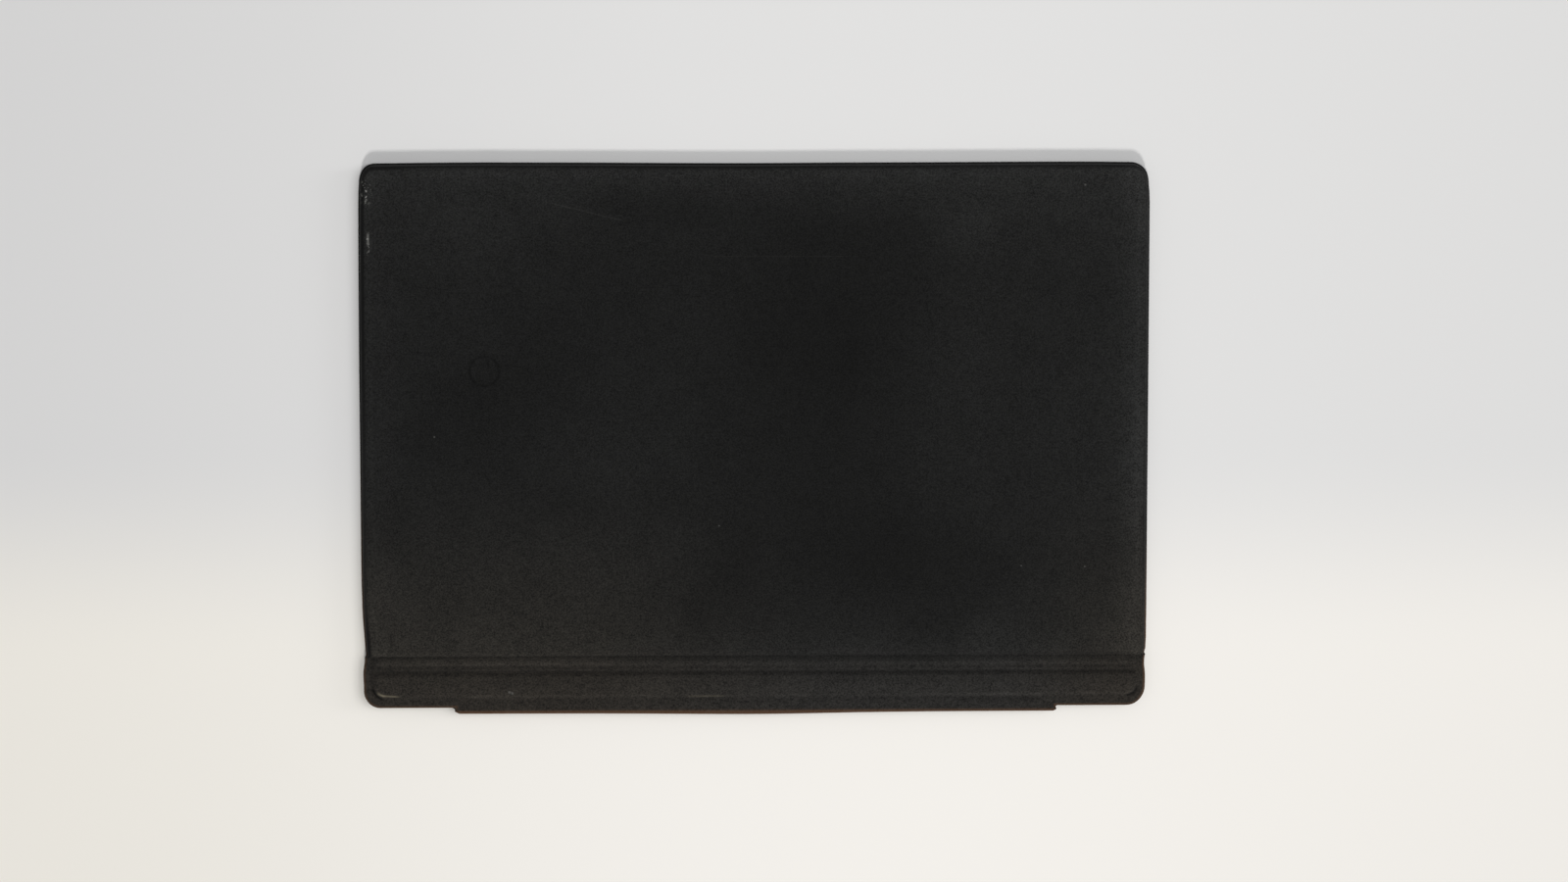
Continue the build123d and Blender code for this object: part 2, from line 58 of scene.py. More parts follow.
# ---------------------------------------------------------------- back skin of the panel
# Microfibre sheet pressed over a stiff plate to a shallow tray with a thin flange. It is bonded to the
# palm rest sheet at the flange, and runs on into the first half of the fold.
# Sizes are millimetres up to piece(). Corner radii are given as left, right.
half_width = 147.5
far_y, far_radii = 102.825, (6.4, 6.8)
seam_y = -85.075
flap_y, flap_radii = -100.775, (6.1, 7.0)
tongue_low, tongue_high = -113.2, 113.75
stiff_bar = (-143.4, 144.4, -97.0, -88.9)
cloth_thickness = 0.36
beyond = 300          # well outside the case


def ease(value, low, high):
    """0 below low, 1 above high, and a smooth step between them."""
    share = min(max((value - low) / (high - low), 0.0), 1.0)
    return share * share * (3 - 2 * share)


def mix(a, b, share):
    return a + (b - a) * share


def inside(x, y, box, radius):
    """How far a point lies inside a rounded rectangle given as x low, x high, y low, y high."""
    over_x = max(box[0] + radius - x, x - box[1] + radius)
    over_y = max(box[2] + radius - y, y - box[3] + radius)
    if over_x > 0 and over_y > 0:
        return radius - math.hypot(over_x, over_y)
    return radius - max(over_x, over_y)


def steps(low, high, pitch):
    """Evenly spaced places from low to high, both left out."""
    count = max(int((high - low) / pitch), 1)
    return [low + (high - low) * (n + 1) / (count + 1) for n in range(count)]


def flat_region(*loops):
    """A flat sheet facing up. A loop is corner points with a radius each, and later loops are holes."""
    bm = bmesh.new()
    for corners in loops:
        verts = [bm.verts.new((x, y, 0)) for x, y, _ in corners]
        bm.faces.new(verts)
        for vert, (_, _, radius) in zip(verts, corners):
            if radius:
                bmesh.ops.bevel(bm, geom=[vert], offset=radius, segments=10 if radius > 3 else 6,
                                profile=0.5, affect="VERTICES", material=-1)
    if len(loops) > 1:
        bmesh.ops.delete(bm, geom=bm.faces[:], context="FACES_ONLY")
        bmesh.ops.triangle_fill(bm, use_beauty=True, edges=bm.edges[:], normal=(0, 0, 1))
    bmesh.ops.recalc_face_normals(bm, faces=bm.faces[:])
    if bm.faces[:][0].normal.z < 0:
        bmesh.ops.reverse_faces(bm, faces=bm.faces[:])
    return bm


def add_rings(bm, places):
    """Rings of faces along the sheet's whole edge, at these distances in from it."""
    inner = bm.faces[:]
    done = 0.0
    for place in places:
        bmesh.ops.inset_region(bm, faces=inner, thickness=place - done, use_boundary=True,
                               use_even_offset=True)
        done = place


def cut(bm, axis, places):
    """Cuts every face along planes across one axis."""
    for place in places:
        point = Vector((0, 0, 0))
        point[axis] = place
        normal = Vector((0, 0, 0))
        normal[axis] = 1
        bmesh.ops.bisect_plane(bm, geom=bm.verts[:] + bm.edges[:] + bm.faces[:], dist=1e-4,
                               plane_co=point, plane_no=normal)


def keep_between(bm, low, high):
    """Drops what lies outside two y values."""
    for place, clear in ((low, {"clear_inner": True}), (high, {"clear_outer": True})):
        bmesh.ops.bisect_plane(bm, geom=bm.verts[:] + bm.edges[:] + bm.faces[:], dist=1e-4,
                               plane_co=(0, place, 0), plane_no=(0, 1, 0), **clear)


def piece(bm, name, finish, sharp=40):
    """A finished piece in metres, shaded smooth but for its sharp edges."""
    bmesh.ops.scale(bm, vec=(MM, MM, MM), verts=bm.verts[:])
    bmesh.ops.recalc_face_normals(bm, faces=bm.faces[:])
    if bm.calc_volume(signed=True) < 0:
        bmesh.ops.reverse_faces(bm, faces=bm.faces[:])
    for face in bm.faces:
        face.smooth = True
    for edge in bm.edges:
        edge.smooth = edge.calc_face_angle(0) < math.radians(sharp)
    mesh = bpy.data.meshes.new(name)
    bm.to_mesh(mesh)
    bm.free()
    obj = bpy.data.objects.new(name, mesh)
    bpy.context.scene.collection.objects.link(obj)
    mesh.materials.append(finish)
    return obj


# How the outer face rises from the free edge: flange, steep shoulder, soft rim and flat top
panel_section = ((0, 0.56), (0.1, 0.9), (0.3, 1.0), (0.6, 1.06), (0.78, 1.5), (0.88, 2.5), (0.98, 3.2),
                 (1.15, 3.75), (1.4, 4.2), (1.75, 4.5), (2.1, 4.68), (2.5, 4.80), (2.95, 4.82), (3.4, 4.77),
                 (3.9, 4.76), (4.4, 4.81), (5.0, 4.81), (5.8, 4.78), (7.0, 4.78))
# How far the thinner fold and flap drop towards the free edge
band_height = 4.4
band_drop = ((0, 0.46), (0.1, 0.30), (0.3, 0.16), (0.6, 0.07), (1.15, 0.02), (2.1, 0))
# The two creases and the soft ridge between them
fold_section = ((-89.7, 0), (-89.0, 0.02), (-88.5, -0.14), (-87.9, -0.46), (-87.3, -0.46), (-86.8, -0.20),
                (-86.3, -0.12), (-85.8, -0.14), (-85.2, 0.04), (-84.4, 0.30), (-83.6, 0.34), (-82.7, 0.26),
                (-82.1, 0.16), (-81.75, -0.06), (-81.45, -0.14), (-81.15, -0.06), (-80.7, 0.0))
# The outline's half width along the left and right ends, and how the far edge bows
left_side = ((-93.5, 146.8), (-91, 146.87), (-88.1, 147.0), (-85.6, 146.75), (-82.6, 146.2), (-78.3, 146.8),
             (-74.6, 146.95), (-70.9, 147.25), (-63.6, 147.62), (-50, 147.8), (-20, 147.7), (30, 147.6),
             (70, 147.35), (92, 147.1), (94.5, 146.95), (97.8, 146.6), (99.4, 146.55), (101.8, 147.1))
right_side = ((-93.3, 146.75), (-91, 146.87), (-88.1, 146.75), (-85.6, 146.4), (-82.6, 146.5), (-81, 147.0),
              (-79.6, 147.7), (-60, 147.7), (60, 147.75), (91, 147.75), (94.5, 147.35), (98, 147.15),
              (101, 147.3))
far_edge = ((-141, -0.35), (-120, -0.1), (-100, 0), (-60, -0.1), (-25, -0.3), (0, -0.35), (30, -0.15),
            (65, -0.05), (105, 0.15), (130, 0.15), (138, 0))


def along(value, points):
    """The value between given points (place, value)."""
    places, values = zip(*points)
    return float(interp(value, places, values))


def side_place(x, y):
    """The outline's half width at y, with its turns eased."""
    table = left_side if x < 0 else right_side
    return sum(along(y + d, table) for d in (-1.2, -0.6, 0, 0.6, 1.2)) / 5


def edge_shift(x, y):
    """How far the far edge and the flap's free edge lie from their plain lines."""
    return along(x, far_edge) * ease(y, 60, 102) - 0.2 * ease(-y, 97, 100.7)


def ridge(distance, width):
    """1 on a line, falling off softly to both sides."""
    return math.exp(-(distance / width) ** 2)


def fold_share(y):
    """0 on the panel and 1 on the fold and flap."""
    return ease(-y, 80.9, 82.2)


def back_rim(x, y):
    """How far a point of the back lies from the free edge."""
    right = x >= 0
    panel = inside(x, y, (-half_width, half_width, -beyond, far_y), far_radii[right])
    flap = inside(x, y, (-half_width, half_width, flap_y, beyond), flap_radii[right])
    tongue = inside(x, y, (tongue_low, tongue_high, -beyond, beyond), 0.1)
    return max(min(panel, flap), min(tongue, panel))


def bar_inset(x, y):
    """How far a point lies inside the flap's stiff bar, which leans a little in the cloth."""
    return inside(x, y - 0.001 * x * ease(-y, 91, 95), stiff_bar, 4.4 if y < -93 else 1.5)


def back_height(x, y):
    """Height of the outer face, with the creases, the raised bar and a slight waviness of the cloth."""
    rim = back_rim(x, y)
    share = fold_share(y)
    height = mix(along(rim, panel_section), band_height - along(rim, band_drop), share)
    height += along(y, fold_section) * ease(rim, 1.0, 5.0)
    bar = bar_inset(x, y)
    corner = ease(abs(x), 137, 141) * ease(-y, 91.5, 94)
    height += (0.30 + 0.12 * corner) * ease(bar, -0.5 + 0.3 * corner, 0.8) + 0.14 * ease(bar, 0.4, 3.8)
    height -= 0.30 * corner * ridge(bar + 0.7, 0.45)
    wave = noise.noise(Vector((x * 0.013, y * 0.02, 4.0)))
    wave += 0.5 * noise.noise(Vector((x * 0.05, y * 0.05, 9.0)))
    return height + 0.05 * wave * ease(rim, 2.0, 14.0) * (1 - 0.6 * share)


def set_heights(bm, height):
    """Lifts each point to the surface, then draws the sides in towards the fold."""
    for vert in bm.verts:
        x, y = vert.co.x, vert.co.y
        vert.co.z = height(x, y)
        vert.co.x = x * side_place(x, y) / half_width
        vert.co.y = y + edge_shift(x, y)


def flat_place(x, y):
    """Where a point lay before set_heights drew it in."""
    y -= edge_shift(x, y)
    return x * half_width / side_place(x, y), y


def thicken(bm, thickness, upward):
    """Makes a closed shell of a sheet; the new face lies above or below the old one."""
    bmesh.ops.solidify(bm, geom=bm.faces[:], thickness=-thickness if upward else thickness)


def linear(red, green, blue):
    """Node colour of a display colour given from 0 to 255."""
    parts = [c / 255 for c in (red, green, blue)]
    return (*[c / 12.92 if c <= 0.04045 else ((c + 0.055) / 1.055) ** 2.4 for c in parts], 1)


class Finish:
    """A node material in the making, on object coordinates in metres or on an attribute."""

    def __init__(self, name, roughness=0.5, metallic=0.0):
        self.material = bpy.data.materials.new(name)
        self.material.use_nodes = True
        self.tree = self.material.node_tree
        self.shader = self.tree.nodes["Principled BSDF"]
        self.shader.inputs["Roughness"].default_value = roughness
        self.shader.inputs["Metallic"].default_value = metallic
        self.place = self.node("ShaderNodeTexCoord").outputs["Object"]

    def node(self, kind, **settings):
        node = self.tree.nodes.new(kind)
        for key, value in settings.items():
            setattr(node, key, value)
        return node

    def feed(self, socket, value):
        if isinstance(value, bpy.types.NodeSocket):
            self.tree.links.new(value, socket)
        elif value is not None:
            socket.default_value = value

    def maths(self, operation, a, b=None):
        node = self.node("ShaderNodeMath", operation=operation)
        self.feed(node.inputs[0], a)
        self.feed(node.inputs[1], b)
        return node.outputs[0]

    def added(self, first, *others):
        for other in others:
            first = self.maths("ADD", first, other)
        return first

    def times(self, first, *others):
        for other in others:
            first = self.maths("MULTIPLY", first, other)
        return first

    def vector(self, operation, a, b=None, output=0):
        node = self.node("ShaderNodeVectorMath", operation=operation)
        self.feed(node.inputs[0], a)
        self.feed(node.inputs[1], b)
        return node.outputs[output]

    def ramp(self, value, low, high, to_low=0.0, to_high=1.0):
        node = self.node("ShaderNodeMapRange", interpolation_type="SMOOTHSTEP")
        for socket, number in zip(node.inputs[:5], (value, low, high, to_low, to_high)):
            self.feed(socket, number)
        return node.outputs[0]

    def axes(self):
        """The x and y of each point, in metres."""
        parts = self.node("ShaderNodeSeparateXYZ")
        self.feed(parts.inputs[0], self.place)
        return parts.outputs[0], parts.outputs[1]

    def grain(self, per_metre, detail=3.0, roughness=0.6):
        node = self.node("ShaderNodeTexNoise")
        self.feed(node.inputs["Vector"], self.place)
        self.feed(node.inputs["Scale"], per_metre)
        self.feed(node.inputs["Detail"], detail)
        self.feed(node.inputs["Roughness"], roughness)
        return node.outputs["Fac"]

    def blended(self, share, a, b):
        node = self.node("ShaderNodeMix", data_type="RGBA")
        self.feed(node.inputs[0], share)
        self.feed(node.inputs[6], a)
        self.feed(node.inputs[7], b)
        return node.outputs[2]

    def scaled(self, colour, factor):
        """A colour with all three parts multiplied by one factor."""
        three = self.node("ShaderNodeCombineXYZ")
        for socket in three.inputs:
            self.feed(socket, factor)
        return self.vector("MULTIPLY", colour, three.outputs[0])

    def bump(self, height, distance, strength):
        node = self.node("ShaderNodeBump")
        self.feed(node.inputs["Strength"], strength)
        self.feed(node.inputs["Distance"], distance)
        self.feed(node.inputs["Height"], height)
        self.feed(self.shader.inputs["Normal"], node.outputs[0])


def microfibre(name, panel_colour, flap_colour, marks=False):
    """Matt felt-like cloth: fine nap, soft mottling, and the patches, painted light, painted shade and
    painted warm edge light stored in its attributes.
    """
    look = Finish(name, roughness=0.93)
    shade = look.node("ShaderNodeAttribute", attribute_name="shade").outputs["Fac"]
    warm_edge_light = look.node("ShaderNodeAttribute", attribute_name="warm_edge_light").outputs["Fac"]
    x, y = look.axes()
    colour = look.blended(look.ramp(y, -0.0885, -0.079), flap_colour, panel_colour)

    # Painted warm light: the cloth is tinted browner towards the fold, where the warm near lamp falls, most
    # of all at both ends
    ends = look.added(look.ramp(x, -0.08, 0.04, 1.0, 0.15), look.ramp(x, 0.09, 0.14, 0.0, 0.85))
    warm_light_share = look.times(look.ramp(y, -0.085, 0.0, 1.0, 0.0), ends)
    warm = look.blended(warm_light_share, (1, 1, 1, 1), (1.12, 1.0, 0.86, 1))
    colour = look.vector("MULTIPLY", colour, warm)

    # Nap, then tufts, broad mottling and single fibres, each with its depth
    nap = look.grain(1500, 2.0, 0.7)
    factor = look.ramp(nap, 0.25, 0.75, -0.60, 0.60)
    for grain, depth in (((480, 3.0, 0.65), 0.16), ((80, 4.0, 0.65), 0.10), ((5200, 2.0, 0.65), 0.50)):
        factor = look.added(factor, look.ramp(look.grain(*grain), 0.3, 0.7, -depth, depth))
    factor = look.times(look.added(factor, 1.0), look.added(shade, 1.0))
    colour = look.scaled(colour, factor)
    # Painted warm light: brown laid on the low rim's edges and the turned tongue where they catch the lamps
    colour = look.blended(warm_edge_light, colour, linear(98, 68, 44))
    if marks:
        colour = worn_marks(look, colour)
    look.feed(look.shader.inputs["Base Color"], colour)
    look.feed(look.shader.inputs["Specular IOR Level"], 0.12)
    look.feed(look.shader.inputs["Sheen Weight"], 0.04)
    look.feed(look.shader.inputs["Sheen Roughness"], 0.6)
    look.bump(nap, 0.00006, 0.6)
    return look.material


def worn_marks(look, colour):
    """Small marks on the back: a ring, two scratches, pale specks, scuffed cloth on the left rim, and a
    painted highlight on the shiny worn corner and near edge of the bar.
    """
    def away(x, y):
        """How far each point lies from an upright line, in metres."""
        flat = look.vector("MULTIPLY", look.place, (1, 1, 0))
        return look.vector("DISTANCE", flat, (x * MM, y * MM, 0), output=1)

    def line(ax, ay, bx, by, width):
        """1 along a straight scratch from a to b."""
        length = math.hypot(bx - ax, by - ay)
        way = ((bx - ax) / length, (by - ay) / length, 0)
        offset = look.vector("SUBTRACT", look.place, (ax * MM, ay * MM, 0))
        run = look.vector("DOT_PRODUCT", offset, way, output=1)
        across = look.vector("DOT_PRODUCT", offset, (-way[1], way[0], 0), output=1)
        near = look.ramp(look.maths("ABSOLUTE", across), 0.0, width * MM, 1, 0)
        fade = min(4.0, 0.35 * length)
        ends = look.times(look.ramp(run, 0, fade * MM),
                          look.ramp(run, (length - fade) * MM, length * MM, 1, 0))
        return look.times(near, ends)

    broken = look.ramp(look.grain(300, 2.0), 0.35, 0.55, 0.45, 1.0)
    ring = look.ramp(look.maths("ABSOLUTE", look.maths("SUBTRACT", away(-100.5, 25.3), 5.5 * MM)),
                     0.15 * MM, 0.85 * MM, 1, 0)
    ring = look.maths("MAXIMUM", ring, line(-99.9, 30.6, -98.5, 26.0, 0.8))
    colour = look.blended(look.times(ring, broken, 0.62), colour, (0.0002, 0.0002, 0.0002, 1))

    # Painted highlight on the shiny worn cloth at the bar's corner and near edge
    shine = look.added(line(-142.4, -95.1, -138.4, -96.9, 0.8), line(-141.5, -96.2, -132.5, -96.8, 0.6))
    shine = look.added(look.times(shine, 0.22), look.times(line(-27, -97.0, -10, -96.8, 0.6), 0.07))
    colour = look.blended(shine, colour, linear(158, 149, 126))

    # Two faint scratches, the chipped left rim with its streak, and pale specks
    chipped = look.ramp(look.grain(1000, 2.0), 0.56, 0.63)
    rim_rub = look.added(line(-143.6, 97.5, -144.2, 86.0, 3.0), line(-143.2, 79.0, -143.0, 67.5, 0.9),
                         look.times(line(-146.9, 78.0, -146.9, 60.0, 0.6), 0.7))
    light = look.added(look.times(line(-78.1, 88.3, -46.8, 80.6, 0.5), 0.022),
                       look.times(line(-16, 67.8, 36.6, 67.8, 0.4), 0.012),
                       look.times(rim_rub, chipped, 0.55),
                       look.times(line(-143.1, 77.5, -143.0, 71.0, 0.7), 0.30))
    for x, y, radius in ((123.0, 94.2, 0.6), (-119.3, 0.9, 0.5), (-13.4, -32.6, 0.45), (99.8, -48.0, 0.45),
                         (123.7, -48.4, 0.45), (-92.3, -95.1, 0.8), (-91.2, -95.5, 0.8)):
        light = look.added(light, look.ramp(away(x, y), 0.2 * radius * MM, radius * MM, 0.16, 0))
    return look.blended(look.maths("MINIMUM", light, 1.0), colour, linear(150, 150, 146))


# Lighter and darker patches on the back: x, y, half length, half width, turn in degrees, change of shade
blotches = [
    (28, 60, 42, 40, 0, -0.31), (-70, 38, 62, 18, 35, -0.14), (-100, 10, 30, 22, 0, -0.15),
    (20, 15, 40, 34, 0, -0.26), (40, -30, 50, 34, 0, -0.13), (68, -50, 42, 20, -15, -0.29),
    (20, -45, 30, 34, 0, -0.12), (-15, -62, 32, 10, 62, -0.23), (-105, -62, 52, 32, 0, 0.60),
    (-100, 90, 50, 14, 0, 0.28), (70, 92, 70, 12, 0, 0.28), (110, 82, 36, 18, 0, 0.26),
    (118, -68, 36, 20, 0, 0.22), (-45, -72, 50, 16, 0, 0.24), (87, -73, 9, 8, 0, 0.30),
    (-108, 74, 26, 14, 0, 0.27), (-40, 85, 30, 8, 0, -0.18), (-122, -2, 9, 8, 0, -0.16),
    (-55, -10, 26, 20, 0, 0.15), (80, 76, 12, 9, 0, 0.40), (80, 10, 26, 60, 0, 0.17),
    (-50, -45, 30, 16, 0, 0.35), (122, -5, 16, 60, 0, 0.18), (0, 97, 60, 8, 0, 0.12),
    (63, -5, 5, 5, 0, 0.20), (-22, -72, 14, 5, 75, -0.10), (-138, -36, 9, 10, 0, -0.12),
    (20, -72, 50, 10, 0, -0.13), (37, 30, 12, 3, 85, -0.12), (-71, -23, 9, 6, 0, -0.10),
    (68, -74, 18, 8, 0, -0.28), (138, -70, 10, 16, 0, 0.34),
]
# How strong the painted light on the pale border is along the left and right ends, and the painted shade on
# the shoulder on each side
left_border = ((-85, 2.9), (-60, 2.7), (-40, 1.2), (25, 0.9), (45, 1.2), (97, 1.7))
right_border = ((-70, 0.95), (-45, 1.0), (-10, 1.15), (10, 1.0), (40, 0.75), (60, 0.75), (80, 0.9),
                (100, 1.0))
left_shoulder = ((-84, 0.4), (-79, 0.95), (-73, 0.8), (-62, 0.1), (-25, 0.1), (10, 0.55), (35, 0.85),
                 (92, 0.85), (98, 0.6))
far_shoulder = ((-135, 0.35), (-80, 0.35), (-40, 0.4), (0, 0.48), (60, 0.3), (130, 0.2))
right_shoulder = ((-70, 0.1), (-45, 0.58), (-15, 0.58), (20, 0.32), (90, 0.32))


def paint_shade(obj, spots, light_and_shade=None):
    """Stores each point's change of shade, from the patches and the painted light and shade, and its share
    of painted warm light on the edges, for the cloth.
    """
    layer = obj.data.attributes.new("shade", "FLOAT", "POINT")
    warm_edge_light = obj.data.attributes.new("warm_edge_light", "FLOAT", "POINT")
    for n, vert in enumerate(obj.data.vertices):
        x, y = vert.co.x / MM, vert.co.y / MM
        value = 0.0
        for cx, cy, long, wide, turn, change in spots:
            c, s = math.cos(math.radians(turn)), math.sin(math.radians(turn))
            u, v = (x - cx) * c + (y - cy) * s, (y - cy) * c - (x - cx) * s
            value += change * (1 - ease(math.hypot(u / long, v / wide), 0.2, 1.5))
        if light_and_shade:
            border, dark, brown = light_and_shade(*flat_place(x, y), vert.co.z / MM)
            value = (1 + value + border) * (1 - dark) - 1
            warm_edge_light.data[n].value = brown
        layer.data[n].value = value


def border_painted_light(x, y, rim):
    """How much paler the border is painted, far, near, left and right, as painted light on the curved rim
    and the lit right shoulder, with a thin painted highlight on the shoulder's ridge.
    """
    border = 1.35 * math.exp((y - 102.8) / 6) + 0.75 * math.exp(min(-79 - y, 0) / 12)
    border += 0.6 * math.exp((-half_width - x) / 8) * along(y, left_border)
    border *= ease(rim, 1.5, 4.0)
    right = min(3.0 * math.exp((x - half_width) / 5.9), 1.4)
    border += right * ease(rim, 0.5, 2.5) * along(y, right_border)
    return border + 0.16 * ridge(rim - 5.0, 0.5)


def shoulder_painted_shade(x, y, rim):
    """The share of painted shade on the steep shoulder at the left, far and right sides, where it faces
    away from the light.
    """
    left = along(y, left_shoulder) if x < -130 else 0
    left *= ease(rim, 0.7, 1.1) * (1 - ease(rim, 2.3, 3.1))
    far = along(x, far_shoulder) * ease(y, 97, 101)
    far *= ease(rim, 0.4, 0.7) * (1 - ease(rim, 1.7, 2.5))
    right = along(y, right_shoulder) if x > 130 else 0
    right *= ease(rim, 0.4, 0.8) * (1 - ease(rim, 1.9, 2.6))
    return max(left, far, right)


def crease_painted_shade(x, y, bar):
    """The share of painted shade in both creases and round the bar, below 0 where a painted highlight
    lights the bar and its near edge.
    """
    uneven = 1 + 0.4 * noise.noise(Vector((x * 0.05, 7.0, 0.0)))
    uneven += 0.3 * noise.noise(Vector((x * 0.4, 3.0, 0.0)))
    from_first = y + 81.45 - 0.0025 * x
    from_second = y + 87.65 + 0.0015 * x
    crease = 0.30 * uneven * ridge(from_first, 0.5)
    crease += 0.40 * uneven * ridge(from_second, 0.65)
    crease += 0.20 * ridge(from_second - 1.6, 0.55) - 0.16 * ridge(from_second - 3.2, 0.7)
    ends = ease(abs(x), 50, 120)
    crease -= (0.18 + 0.32 * ends + 0.14 * ends * (x > 0)) * ridge(bar - 0.5, 0.6) * ease(-y, 92, 95)
    crease -= 0.09 * ease(bar, 0.0, 2.5) * ease(-y, 91, 94)
    crease += (0.10 + 0.16 * ends * (x > 0)) * ridge(bar + 1.4, 1.0) * ease(-y, 94, 96)
    return crease


def crevice_painted_shade(x, y, rim, bar):
    """The share of painted shade in the gap round the bar's corners, and along the left end of the fold."""
    corner = ease(abs(x), 139.7, 141.2) * ease(-y, 92.5, 94.5)
    crevice = 0.92 * corner * ridge(bar + (0.8 if x < 0 else 0.4), 0.45)
    if x < 0:
        end = 0.40 * ridge(rim - 3.3, 1.0) * ease(-y, 78, 83) * (1 - ease(-y, 93, 96))
        crevice = max(crevice, end)
    return crevice


def edge_painted_warm_light(x, y, z, rim):
    """How much painted warm light the edges get, low on the rim and on top of the turned tongue."""
    right = 0.5 * ease(x, 140, 147) * ease(-y, 30, 75)
    left = 0.42 * ease(-x, 140, 147) * ease(-y, -10, 80)
    near = 0.42 * ease(-y, 95, 100.5)
    brown = (1 - ease(rim, 0.2, 0.9)) * max(right, left, near)
    return max(brown, turn_painted_warm_light(y, z)) if abs(x) < 116 else brown


def turn_painted_warm_light(y, z):
    """The painted warm light where the cloth turns under, above its lower half."""
    return 0.45 * ease(-y, 101.7, 102.5) * ease(z, 2.5, 3.6)


def back_painted_light(x, y, z):
    """The painted paler border, the share of painted shade and the painted warm edge light of a point of
    the back.
    """
    rim, bar = back_rim(x, y), bar_inset(x, y)
    panel = 1 - fold_share(y)
    lit = 1 - shoulder_painted_shade(x, y, rim) * panel
    lit *= 1 - crease_painted_shade(x, y, bar) * ease(rim, 3.6, 5.2)
    lit *= 1 - crevice_painted_shade(x, y, rim, bar)
    return border_painted_light(x, y, rim) * panel, 1 - lit, edge_painted_warm_light(x, y, z, rim)


# Where the sheet is cut for its shape: rings in from the edge, the ends, the fold and the flap
rim_places = [place for place, _ in panel_section if 0 < place < 5]
side_cuts = [x for place in (142.7, 142.2, 141.6, 140.6) for x in (-place, place)]
far_cuts = [97.9, 97.4, 96.8, 95.8]
fold_cuts = [-79.7, -80.1, -80.4, -80.6, -80.8, -81.0, -81.15, -81.3, -81.45, -81.6, -81.75, -81.9, -82.1,
             -82.3, -82.5, -82.8, -83.2, -83.6, -84.0, -84.4, -84.8]
flap_cuts = [-85.4, -85.7, -86.0, -86.3, -86.6, -86.85, -87.1, -87.3, -87.5, -87.7, -87.9, -88.1, -88.3,
             -88.5, -88.75, -89.0, -89.3, -89.7, -90.3, -91.2, -92.4, -93.6, -94.2, -94.7, -95.2, -95.5,
             -95.8, -96.1, -96.4, -96.7, -97.0, -97.3, -97.7, -98.1, -98.7, -99.4, -100.0, -100.4, -100.8,
             -101.3]
panel_loop = [(-half_width, -130, 0), (half_width, -130, 0), (half_width, far_y, far_radii[1]),
              (-half_width, far_y, far_radii[0])]

back_cloth = microfibre("back_microfibre", linear(20.3, 20.6, 20.3), linear(35.3, 34.7, 33.7), marks=True)
sheet = flat_region(panel_loop)
add_rings(sheet, rim_places)
keep_between(sheet, seam_y, beyond)
cut(sheet, 0, steps(-139, 139, 3.2) + side_cuts)
cut(sheet, 1, steps(-78.8, 95, 3.2) + far_cuts + fold_cuts)
set_heights(sheet, back_height)
thicken(sheet, cloth_thickness, upward=False)
back_skin = piece(sheet, "back_skin_cloth", back_cloth)
paint_shade(back_skin, blotches, back_painted_light)
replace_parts(back_skin, "back_skin", "fold_band")
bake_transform(back_skin)

# ---------------------------------------------------------------- palm rest sheet of the panel
# Smooth coated cloth on the keyboard side, cut out for the keys and the clickpad. At the fold it turns up
# the panel's end and lies against the back skin.
palm_cloth = microfibre("palm_rest_microfibre", linear(47, 48, 48), linear(47, 48, 48))
key_field, key_field_radius = (-139.4, 139.4, -70.075, 29.525), 2.0
pad_field, pad_field_radius = (-50.9, 50.9, 35.425, 93.225), 2.9
# How the sheet's end turns up at the fold, and how its edges roll in
turned_end = ((-82.0, 3.42), (-81.75, 3.3), (-81.6, 2.6), (-81.45, 1.2), (-81.25, 0.45), (-81.0, 0.12),
              (-80.7, 0))
palm_rim = ((0, 0.44), (0.1, 0.22), (0.3, 0.07), (0.6, 0))


def box_loop(box, radius):
    """The four corners of a rectangle, all rounded alike."""
    return [(box[0], box[2], radius), (box[1], box[2], radius), (box[1], box[3], radius),
            (box[0], box[3], radius)]


def front_height(x, y):
    """Height of the palm rest sheet's face, and of the flap's front where it runs on."""
    rim = min(back_rim(x, y), -inside(x, y, key_field, key_field_radius),
              -inside(x, y, pad_field, pad_field_radius))
    height = along(y, turned_end) - 1.1 * ease(bar_inset(x, y), -0.5, 0.9)
    return height + along(rim, palm_rim)


openings = box_loop(key_field, key_field_radius), box_loop(pad_field, pad_field_radius)
sheet = flat_region(panel_loop, *openings)
add_rings(sheet, [place for place, _ in palm_rim[1:]])
keep_between(sheet, seam_y, beyond)
cut(sheet, 0, steps(-147, 147, 12))
cut(sheet, 1, steps(-79, 100, 12) + fold_cuts)
set_heights(sheet, front_height)
thicken(sheet, cloth_thickness, upward=True)
front_skin = piece(sheet, "palm_rest_cloth", palm_cloth)
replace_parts(front_skin, "front_skin")
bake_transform(front_skin)

